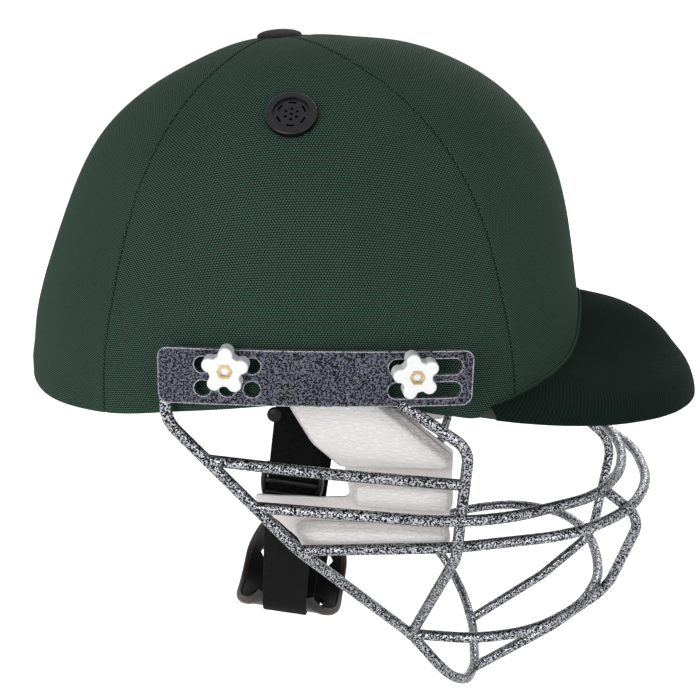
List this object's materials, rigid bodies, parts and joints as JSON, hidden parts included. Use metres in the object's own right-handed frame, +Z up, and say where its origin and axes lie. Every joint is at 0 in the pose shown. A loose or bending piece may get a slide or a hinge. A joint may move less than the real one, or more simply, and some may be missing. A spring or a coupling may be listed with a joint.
{
  "type": "cricket helmet",
  "caption": "Cricket batting helmet: cloth-covered shell with a peak, wire face grille on slotted side plates with star knobs, cheek pads and a chin strap with a cup.",
  "frame": {"origin": "centre of the rim plane, on the mid-plane, where the wearer's head enters the shell", "axes": "+X to the wearer's front, +Y to the wearer's left, +Z up"},
  "size_m": [0.3144, 0.2424, 0.3097],
  "materials": {
    "cloth": "bottle-green fine knit cloth",
    "button_cloth": "black covered button",
    "shell_plastic": "black moulded shell",
    "foam": "dark grey foam liner",
    "comfort_cloth": "black brushed pad cloth",
    "binding": "black rim binding",
    "black_plastic": "black moulded plastic",
    "peak_plastic": "dark peak board",
    "hammered_steel": "silver-grey hammered coat with black specks",
    "stud_steel": "plated steel",
    "white_nylon": "white moulded nylon",
    "insert_brass": "turned brass",
    "pad_leather": "white coated leather with fine wrinkles",
    "backing": "white foam backing",
    "webbing": "black ribbed webbing",
    "cup_plastic": "black soft cup with a bead rim"
  },
  "bodies": {
    "root": {"brow_pad": "comfort_cloth", "cheek_bar_left": "hammered_steel", "cheek_bar_right": "hammered_steel", "cheek_pad_backing_left": "backing", "cheek_pad_backing_right": "backing", "cheek_pad_lower_left": "pad_leather", "cheek_pad_lower_right": "pad_leather", "cheek_pad_middle_left": "pad_leather", "cheek_pad_middle_right": "pad_leather", "cheek_pad_upper_left": "pad_leather", "cheek_pad_upper_right": "pad_leather", "cheek_rail_left": "hammered_steel", "cheek_rail_right": "hammered_steel", "chin_bar": "hammered_steel", "comfort_pad_left": "comfort_cloth", "comfort_pad_right": "comfort_cloth", "cover_front": "cloth", "cover_left": "cloth", "cover_rear": "cloth", "cover_right": "cloth", "crown_button": "button_cloth", "crown_pad": "comfort_cloth", "front_stay_left": "hammered_steel", "front_stay_right": "hammered_steel", "liner": "foam", "lower_bar": "hammered_steel", "middle_bar": "hammered_steel", "peak_board": "peak_plastic", "peak_cover_top": "cloth", "peak_cover_under": "cloth", "plate_spacers": "black_plastic", "plate_washers": "white_nylon", "rear_pad": "comfort_cloth", "rim_binding": "binding", "shell": "shell_plastic", "side_plate_left": "hammered_steel", "side_plate_right": "hammered_steel", "strap_pins": "stud_steel", "studs": "stud_steel", "upper_bar": "hammered_steel", "vent_left": "black_plastic", "vent_right": "black_plastic"},
    "rear_right_knob": {"star_knob_rear_right": "white_nylon", "knob_insert_rear_right": "insert_brass"},
    "front_right_knob": {"star_knob_front_right": "white_nylon", "knob_insert_front_right": "insert_brass"},
    "rear_left_knob": {"star_knob_rear_left": "white_nylon", "knob_insert_rear_left": "insert_brass"},
    "front_left_knob": {"star_knob_front_left": "white_nylon", "knob_insert_front_left": "insert_brass"},
    "strap": {"chin_strap": "webbing"},
    "adjuster": {"strap_adjuster": "black_plastic"},
    "cup": {"chin_cup": "cup_plastic"}
  },
  "joints": [
    {"name": "rear_right_knob_turn", "type": "hinge", "parent": "root", "child": "rear_right_knob", "pos_m": [-0.01961, -0.11285, 0.0255], "axis": [0.0444, -0.999, 0], "continuous": true},
    {"name": "front_right_knob_turn", "type": "hinge", "parent": "root", "child": "front_right_knob", "pos_m": [0.0525, -0.10439, 0.0239], "axis": [0.1881, -0.9821, 0], "continuous": true},
    {"name": "rear_left_knob_turn", "type": "hinge", "parent": "root", "child": "rear_left_knob", "pos_m": [-0.01961, 0.11285, 0.0255], "axis": [0.0444, 0.999, 0], "continuous": true},
    {"name": "front_left_knob_turn", "type": "hinge", "parent": "root", "child": "front_left_knob", "pos_m": [0.0525, 0.10439, 0.0239], "axis": [0.1881, 0.9821, 0], "continuous": true},
    {"name": "strap_swing", "type": "hinge", "parent": "root", "child": "strap", "pos_m": [0.0071, 0, 0.01995], "axis": [0, 1, 0], "range_deg": [-20, 40]},
    {"name": "adjuster_slide", "type": "slide", "parent": "strap", "child": "adjuster", "axis": [0.0958, 0, 0.9954], "range_m": [0, 0.018]},
    {"name": "cup_shift", "type": "hinge", "parent": "strap", "child": "cup", "pos_m": [-0.00477, 0, -0.10328], "axis": [0.9954, 0, -0.0958], "range_deg": [-10, 10]}
  ]
}
